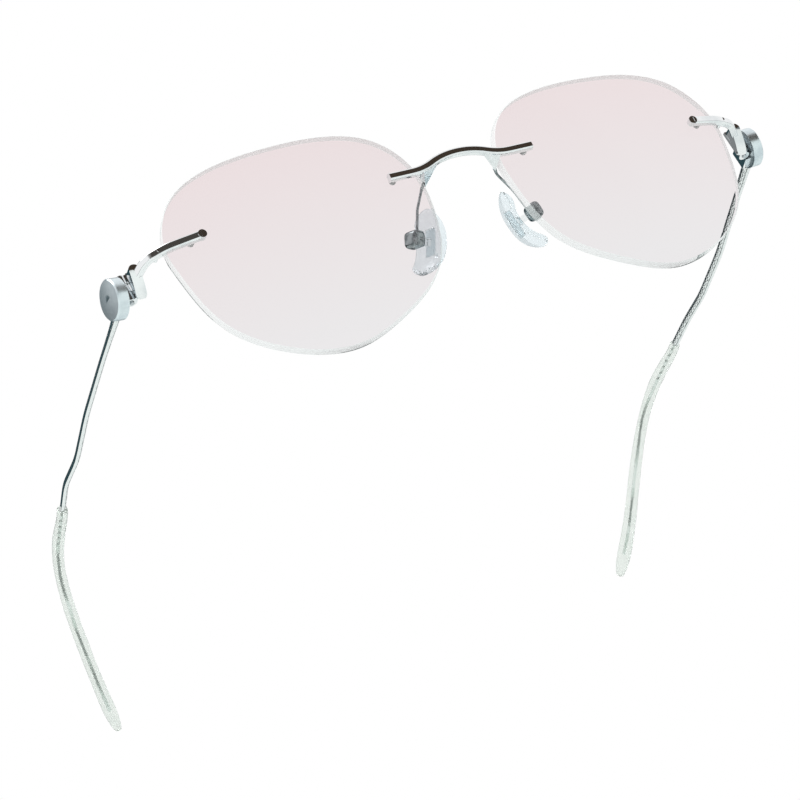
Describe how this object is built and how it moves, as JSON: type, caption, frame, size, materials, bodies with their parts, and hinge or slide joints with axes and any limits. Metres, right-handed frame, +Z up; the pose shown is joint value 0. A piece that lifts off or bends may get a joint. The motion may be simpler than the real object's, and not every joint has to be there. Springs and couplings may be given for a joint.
{
  "type": "rimless eyeglasses",
  "caption": "Rimless eyeglasses with rounded lenses, arched metal bridge, screw-on nose pads, folding wire temples with plain round bosses at the hinges and clear ear covers.",
  "frame": {"origin": "middle of the bounding box in plan, on the surface that the open glasses stand on", "axes": "+X to the wearer's left, +Y from the lenses to the ear ends, +Z up"},
  "size_m": [0.157, 0.1396, 0.047],
  "materials": {
    "polished_metal": "polished rhodium-like plating",
    "engraved_metal": "plated wire with a fine all-over engraving",
    "tinted_lens": "polished, very pale pink-grey tint",
    "clear_plastic": "clear moulded plastic",
    "pad_insert": "satin",
    "clear_silicone": "clear satin silicone, slightly blue",
    "clear_acetate": "milky clear moulded plastic"
  },
  "bodies": {
    "front": {"bridge": "polished_metal", "lens_studs": "polished_metal", "lens_bushes": "clear_plastic", "lens_left": "tinted_lens", "lens_right": "tinted_lens", "end_piece_left": "polished_metal", "end_piece_right": "polished_metal", "pad_arm_left": "polished_metal", "pad_arm_right": "polished_metal", "pad_box_left": "polished_metal", "pad_box_right": "polished_metal", "pad_screw_left": "polished_metal", "pad_screw_right": "polished_metal", "front_hinge_leaf_left": "polished_metal", "front_hinge_leaf_right": "polished_metal", "hinge_screw_left": "polished_metal", "hinge_screw_right": "polished_metal"},
    "nose_pad_left": {"nose_pad_left": "clear_silicone", "pad_insert_left": "pad_insert"},
    "temple_left": {"rear_hinge_leaf_left": "polished_metal", "temple_boss_left": "polished_metal", "temple_wire_left": "engraved_metal", "temple_cover_left": "clear_acetate"},
    "nose_pad_right": {"nose_pad_right": "clear_silicone", "pad_insert_right": "pad_insert"},
    "temple_right": {"rear_hinge_leaf_right": "polished_metal", "temple_boss_right": "polished_metal", "temple_wire_right": "engraved_metal", "temple_cover_right": "clear_acetate"}
  },
  "joints": [
    {"name": "temple_left_fold", "type": "hinge", "parent": "front", "child": "temple_left", "pos_m": [0.072, -0.05392, 0.03007], "axis": [0, 0, 1], "range_deg": [0, 85]},
    {"name": "temple_right_fold", "type": "hinge", "parent": "front", "child": "temple_right", "pos_m": [-0.072, -0.05392, 0.03007], "axis": [0, 0, -1], "range_deg": [0, 88]},
    {"name": "nose_pad_left_rock", "type": "hinge", "parent": "front", "child": "nose_pad_left", "pos_m": [0.0136, -0.06056, 0.02116], "axis": [0.3185, 0.8252, 0.4665], "range_deg": [-6, 6]},
    {"name": "nose_pad_right_rock", "type": "hinge", "parent": "front", "child": "nose_pad_right", "pos_m": [-0.0136, -0.06056, 0.02116], "axis": [0.3185, -0.8252, -0.4665], "range_deg": [-6, 6]}
  ]
}
